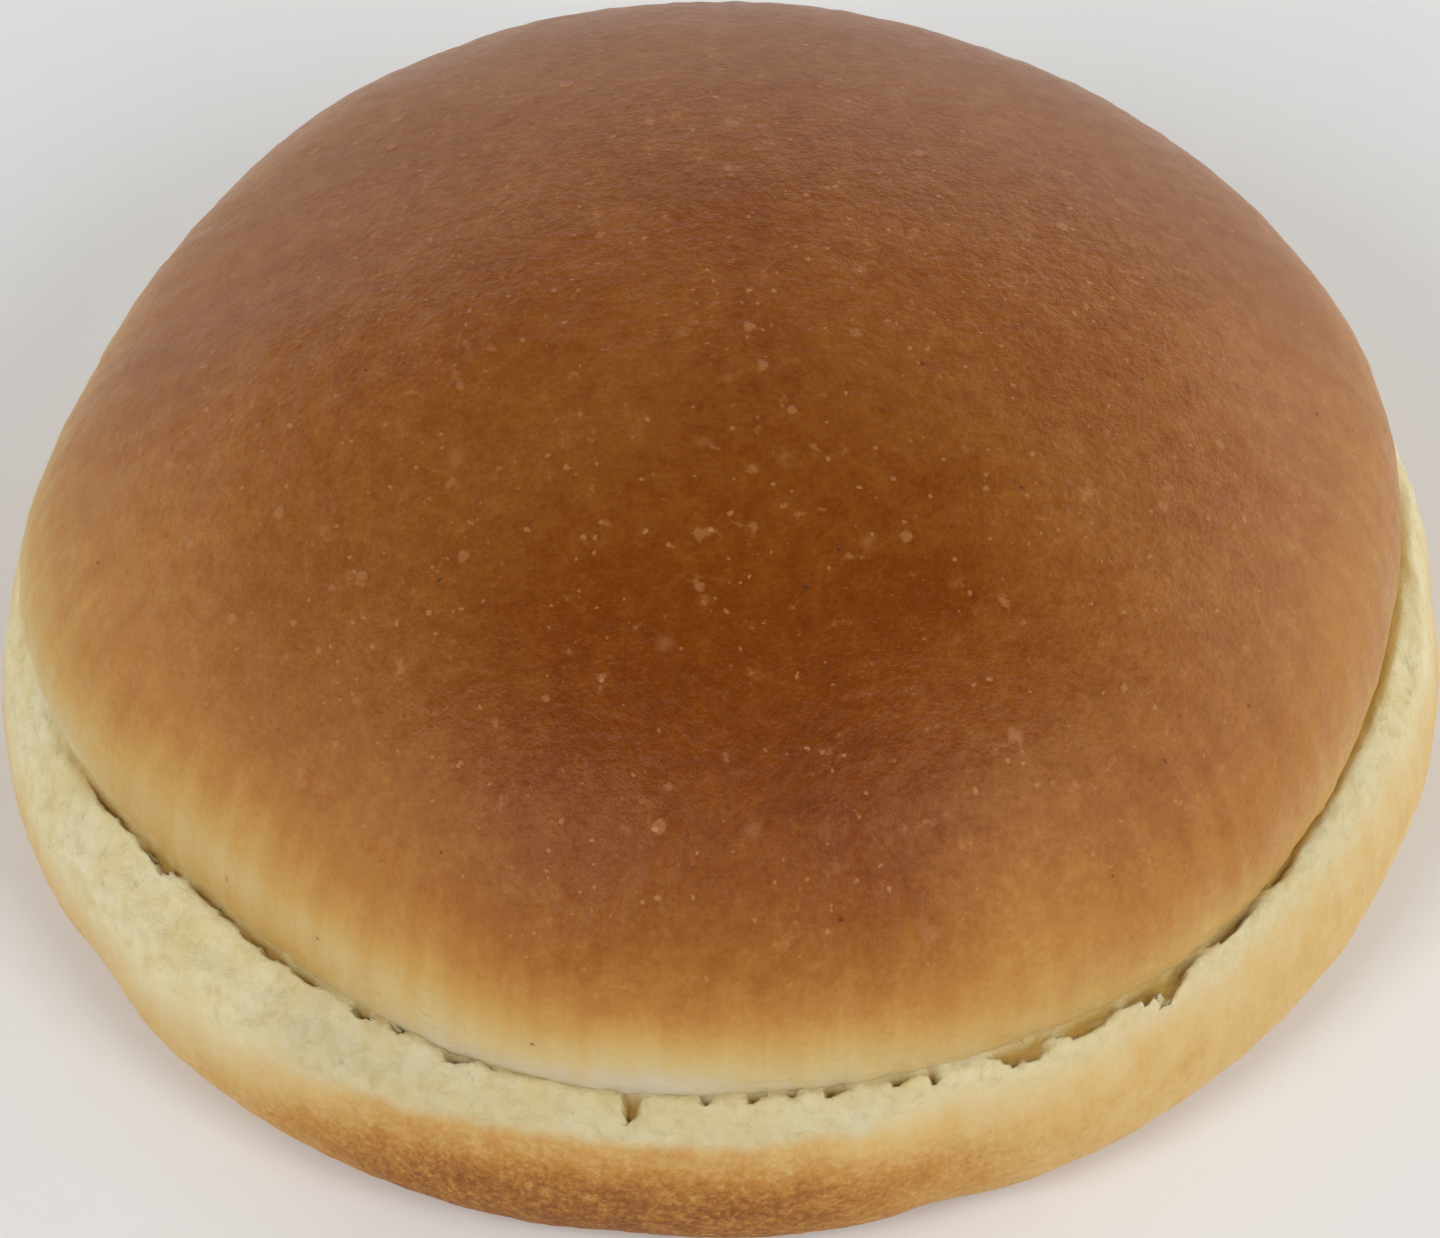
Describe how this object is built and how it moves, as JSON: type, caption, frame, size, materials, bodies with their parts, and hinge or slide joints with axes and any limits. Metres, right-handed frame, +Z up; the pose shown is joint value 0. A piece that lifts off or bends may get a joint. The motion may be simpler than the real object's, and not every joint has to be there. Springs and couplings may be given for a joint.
{
  "type": "burger bun",
  "caption": "Round glazed bread roll sliced level: a domed brown crown resting on a slightly wider pale-sided heel with a flat underside.",
  "frame": {"origin": "on the surface that the bun stands on, under the middle of its outline", "axes": "+Z up through the crown; the side seen from the front faces -Y, +X to its right"},
  "size_m": [0.1047, 0.1056, 0.0475],
  "materials": {
    "heel_crust": "matt pale crumb-like side, golden to brown towards the underside",
    "crown_crust": "soft satin egg glaze over a thin brown crust"
  },
  "bodies": {
    "root": {"heel": "heel_crust", "crown": "crown_crust"}
  },
  "joints": []
}
